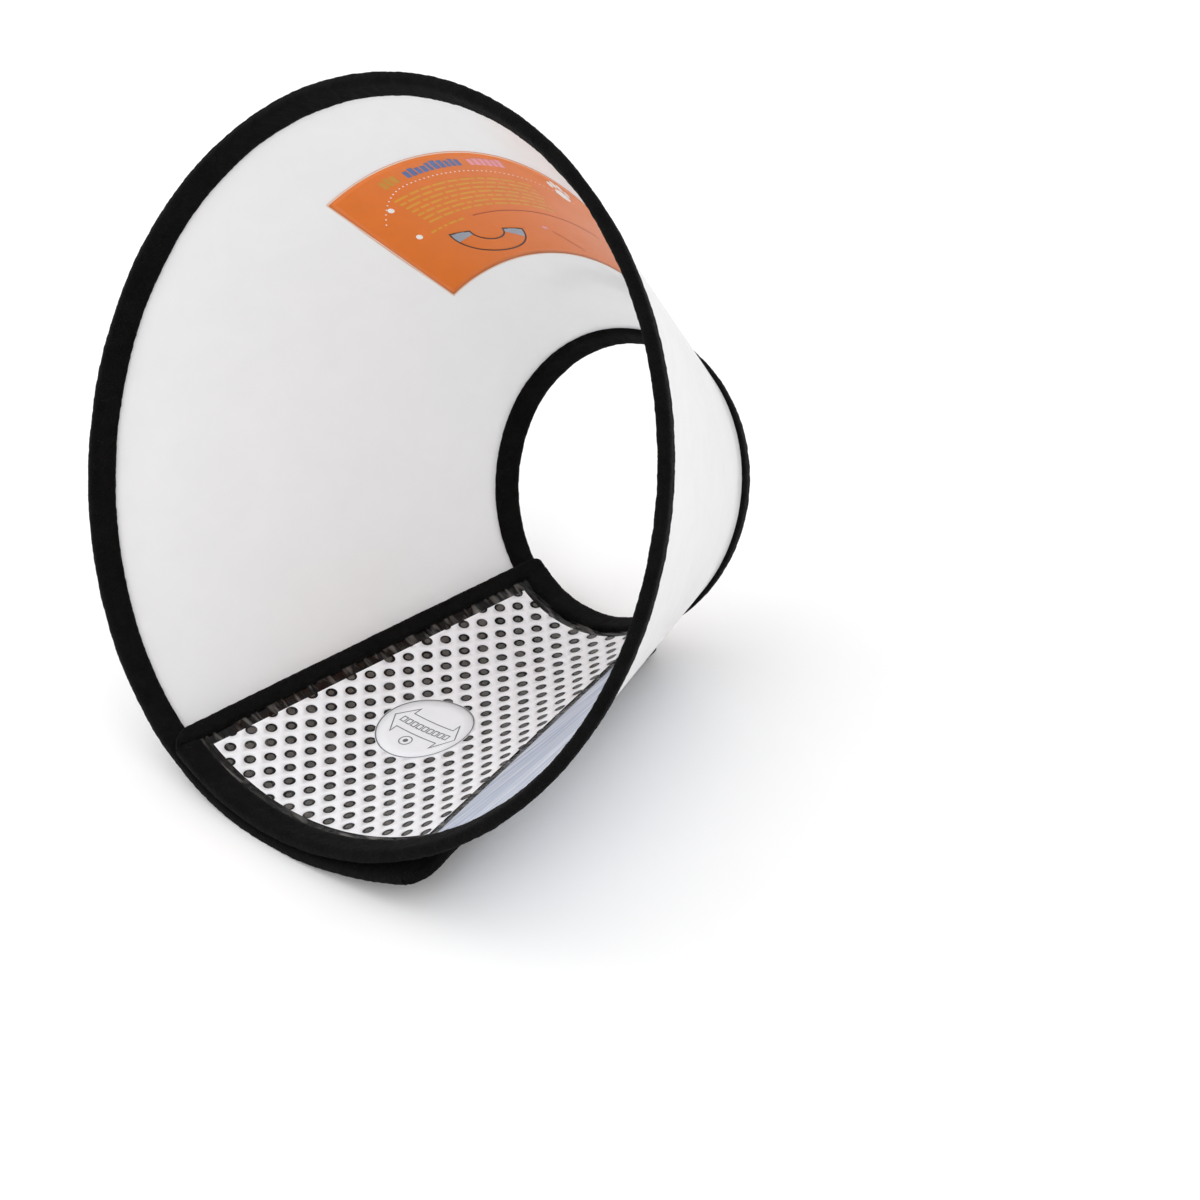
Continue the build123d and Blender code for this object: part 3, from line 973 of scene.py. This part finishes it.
def make_adjust_disc():
    """The white printed disc on the film."""
    mesh = bmesh.new()
    base = SHEET_THICK / 2 + FILM_THICK + STICKER_GAP
    top = base + LABEL_THICK
    rings = [DISC_RADIUS * f for f in (1.0, 0.75, 0.5, 0.25)]
    circles = [[mesh.verts.new((x, y, top)) for x, y in disc_points(0, 0, r, DISC_SIDES)] for r in rings]
    foot = [mesh.verts.new((v.co.x, v.co.y, base)) for v in circles[0]]
    hub = mesh.verts.new((0, 0, top))
    for i in range(DISC_SIDES):
        j = (i + 1) % DISC_SIDES
        for outer, inner in zip(circles, circles[1:]):
            mesh.faces.new((outer[i], outer[j], inner[j], inner[i]))
        mesh.faces.new((circles[-1][i], circles[-1][j], hub))
        mesh.faces.new((foot[i], foot[j], circles[0][j], circles[0][i]))
    draw_disc_marks(mesh, top + INK_THICK)
    place_marks(mesh, DISC_SLANT, DISC_TURN)
    made = strips_from_mesh("adjust_disc", "none", mesh, [DISC_WHITE, DISC_LINE])
    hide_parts("adjust_disc")


def label_edge(slant, side):
    """Flat angle of one of the label's two straight ends at a slant."""
    near_neck = (LABEL_RIM_SLANT - slant) / (LABEL_RIM_SLANT - LABEL_NECK_SLANT)
    half = LABEL_RIM_HALF + (LABEL_NECK_HALF - LABEL_RIM_HALF) * near_neck
    return flat_angle(LABEL_MIDDLE) + side * flat_angle(half)


def dashes(mesh, row, height, words, z, slot, seed):
    """A row of short blocks of word-like lengths, along an arc: its slant and the turns of its two ends."""
    slant, first, last = row[0], flat_angle(row[1]), flat_angle(row[2])
    rng = random.Random(seed)
    angle = first
    while angle > last:
        length = rng.uniform(*words)
        stop = max(last, angle - length / slant)
        steps = max(1, ceil((angle - stop) * slant / 0.002))
        points = [angle + (stop - angle) * i / steps for i in range(steps + 1)]
        ribbon(mesh, [pattern_point(slant, a) for a in points], height, z, slot)
        angle = stop - rng.uniform(0.0007, 0.0012) / slant


def label_border(mesh, ink):
    """The pale line round the label."""
    count = 60
    path = []
    for slant, side in ((LABEL_RIM_SLANT - LABEL_FRAME_INSET, 1), (LABEL_NECK_SLANT + LABEL_FRAME_INSET, -1)):
        first, last = label_edge(slant, side), label_edge(slant, -side)
        path += [pattern_point(slant, first + (last - first) * i / count) for i in range(count + 1)]
    ribbon(mesh, path, 0.0006, ink, 1, closed=True)


def label_title(mesh, ink, slot):
    """Title blocks in three colours, letter-sized and of uneven height."""
    rng = random.Random(11)
    first_slant, turn = TITLE_START
    for colour, letters in TITLE_WORDS:
        for _ in range(letters):
            a = flat_angle(turn)
            slant = first_slant + (TITLE_START[1] - turn) * TITLE_SLOPE
            tall = rng.uniform(0.0032, 0.0046)
            wide = rng.uniform(0.0018, 0.0025)
            b = a - wide / slant
            letter = [(slant, a), (slant, b), (slant + tall, b), (slant + tall, a)]
            mark(mesh, [pattern_point(*corner) for corner in letter], ink, slot[colour])
            turn -= degrees((wide + 0.0006) / slant) / SIN_A
        turn -= 1.9


def label_text(mesh, ink, slot):
    """A dotted line under the title, two bullets, and rows of small print beside them."""
    line_slant, first, last = DOTTED_LINE
    for i in range(DOTS):
        f = i / (DOTS - 1)
        slant = line_slant - DOTTED_DROP * max(0.0, 1 - f / DOTTED_CURVE) ** 2
        dot = pattern_point(slant, flat_angle(first + (last - first) * f))
        mark(mesh, disc_points(*dot, 0.00032, 8), ink, slot["white"])
    for slant, turn in BULLETS:
        mark(mesh, disc_points(*pattern_point(slant, flat_angle(turn)), 0.00125, 16), ink, slot["white"])
    slant, first, last = SMALL_PRINT
    for i in range(SMALL_PRINT_ROWS):
        row = (slant - i * SMALL_PRINT_PITCH, first - i * 0.15, last)
        dashes(mesh, row, 0.0010, (0.0022, 0.0075), ink, slot["yellow"], i)
    dashes(mesh, NOTE_ROW, 0.0010, (0.0015, 0.004), ink, slot["yellow"], 9)
    slant, first, last = RED_ARC
    line = [flat_angle(first + (last - first) * i / 24) for i in range(25)]
    ribbon(mesh, [pattern_point(slant, a) for a in line], 0.0005, ink, slot["red"])


def make_label():
    """Orange sticker with a pale edge, plain marks and a small outline of the flat collar."""
    base = SHEET_THICK / 2 + STICKER_GAP
    ends = partial(label_edge, side=-1), partial(label_edge, side=1)
    mesh = thin_layer((LABEL_NECK_SLANT, LABEL_RIM_SLANT, *ends), base, LABEL_THICK, LABEL_STEP)
    ink = base + LABEL_THICK + INK_THICK
    slot = {name: i + 2 for i, name in enumerate(INK)}
    label_border(mesh, ink)
    label_title(mesh, ink, slot)
    label_text(mesh, ink, slot)
    mini_collar(mesh, ink, slot)
    paw_print(mesh, ink, slot["white"])
    dashes(mesh, PINK_DASH, 0.0016, (0.002, 0.003), ink, slot["pink"], 21)
    tick = [pattern_point(slant, flat_angle(turn)) for slant, turn in RED_TICK]
    ribbon(mesh, tick, 0.0004, ink, slot["red"])
    pivot_slant = (LABEL_NECK_SLANT + LABEL_RIM_SLANT) / 2
    pivot = (*pattern_point(pivot_slant, label_edge(pivot_slant, 1)), 0)
    spin = Matrix.Rotation(radians(-LABEL_TILT), 3, "Z")
    bmesh.ops.rotate(mesh, cent=pivot, matrix=spin, verts=mesh.verts[:])
    materials = [LABEL_ORANGE, LABEL_EDGE, *INK.values()]
    strips_from_mesh("label", "label", mesh, materials)


def drawing_frame(place, tilt=0.0):
    """A small drawing's middle, and its rightward and outward directions, at a slant and turn."""
    slant, turn = place
    angle = flat_angle(turn)
    out = np.array((cos(angle + tilt), sin(angle + tilt)))
    return np.array(pattern_point(slant, angle)), np.array((out[1], -out[0])), out


def squashed_arc(frame_of, radius, first, last, count):
    """Points along an arc of a drawing, a little flatter than round."""
    middle, right, out = frame_of
    turns = [radians(first + (last - first) * i / count) for i in range(count + 1)]
    return [tuple(middle + right * (radius * cos(t)) + out * (radius * 0.86 * sin(t))) for t in turns]


def mini_collar(mesh, z, slot):
    """The small outline of a flat collar, its two ends shaded."""
    drawing = drawing_frame(MINI_COLLAR, MINI_COLLAR_TILT)
    outer, inner = MINI_COLLAR_RADII
    outline = squashed_arc(drawing, outer, 180, 360, 24) + squashed_arc(drawing, inner, 360, 180, 16)
    for first, last in ((180, 202), (338, 360)):
        shade = squashed_arc(drawing, (outer + inner) / 2, first, last, 6)
        ribbon(mesh, shade, outer - inner, z, slot["grey"])
    ribbon(mesh, outline, 0.0006, z + INK_THICK, slot["black"], closed=True)


def paw_print(mesh, z, slot):
    """A plain paw print: one pad and four toes, each given by its middle and its half sizes."""
    middle, right, out = drawing_frame(PAW)
    ovals = [(0, -0.0018, 0.0036, 0.0028), (-0.0042, 0.0018, 0.0013, 0.0018)]
    ovals += [(-0.0015, 0.0036, 0.0014, 0.0020), (0.0015, 0.0036, 0.0014, 0.0020)]
    ovals += [(0.0042, 0.0018, 0.0013, 0.0018)]
    for x, y, half_wide, half_tall in ovals:
        turns = [2 * pi * i / 16 for i in range(16)]
        offsets = [right * (x + half_wide * cos(t)) + out * (y + half_tall * sin(t)) for t in turns]
        mark(mesh, [tuple(middle + offset) for offset in offsets], z, slot)


# The room

def make_camera():
    middle = (CAD_BOX[0] + CAD_BOX[1]) / 2
    azimuth, elevation, lean = radians(CAMERA_AZIMUTH), radians(CAMERA_ELEVATION), radians(CAMERA_ROLL)
    look = Vector((-sin(azimuth) * cos(elevation), cos(azimuth) * cos(elevation), -sin(elevation)))
    level = look.cross(Vector((0, 0, 1))).normalized()
    upright = level.cross(look)
    right = level * cos(lean) + upright * sin(lean)
    up = upright * cos(lean) - level * sin(lean)
    turned = Matrix((right, up, -look)).transposed().to_4x4()
    data = bpy.data.cameras.new("camera")
    data.lens = CAMERA_LENS
    data.sensor_width = 36.0
    data.clip_end = 100.0
    camera = bpy.data.objects.new("camera", data)
    camera.matrix_world = Matrix.Translation(middle + Vector(CAMERA_AIM) - look * CAMERA_DISTANCE) @ turned
    bpy.context.scene.collection.objects.link(camera)
    bpy.context.scene.camera = camera


def add_light(name, place, aim, size, power, colour=(1, 1, 1)):
    data = bpy.data.lights.new(name, "AREA")
    data.shape = "DISK"
    data.size = size
    data.energy = power
    data.color = colour
    light = bpy.data.objects.new(name, data)
    light.location = place
    light.rotation_euler = (Vector(aim) - Vector(place)).to_track_quat("-Z", "Y").to_euler()
    bpy.context.scene.collection.objects.link(light)


def make_room():
    """A plain white floor under soft light from all round, strongest from above."""
    mesh = bpy.data.meshes.new("floor")
    half = FLOOR_SIZE / 2
    corners = [(-half, -half, 0), (half, -half, 0), (half, half, 0), (-half, half, 0)]
    mesh.from_pydata(corners, [], [(0, 1, 2, 3)])
    floor = bpy.data.objects.new("floor", mesh)
    bpy.context.scene.collection.objects.link(floor)
    material, nodes, links, shader = new_material("floor")
    shader.inputs["Base Color"].default_value = (0.97, 0.97, 0.97, 1)
    shader.inputs["Roughness"].default_value = 0.9
    shader.inputs["Specular IOR Level"].default_value = 0.1
    mesh.materials.append(material)
    world = bpy.data.worlds.new("studio")
    world.use_nodes = True
    background = world.node_tree.nodes["Background"]
    background.inputs["Color"].default_value = (1, 1, 1, 1)
    background.inputs["Strength"].default_value = 1.10
    bpy.context.scene.world = world
    bpy.context.scene.view_settings.view_transform = "Standard"
    add_light("front", (0.35, -1.6, 1.1), (0, 0, 0.12), 1.2, 3.5)
    add_light("left", (-1.4, -0.5, 1.0), (0, 0, 0.12), 1.0, 3.0)


make_camera()
make_room()
make_sheet()
edge_binding("rim_binding", RIM_SLANT, -1, 3.0)
edge_binding("neck_binding", NECK_SLANT, 1, 17.0)
end_binding("hook_end_binding", HOOK_END, HOOK_END_SKEW, 1, HOOK_BINDING_WIDTH, 31.0)
end_binding("loop_end_binding", LOOP_END, 0.0, -1, BINDING_WIDTH, 47.0)
make_hook_tape()
make_hook_film()
make_hole_dots()
make_loop_pad()
make_adjust_disc()
make_label()
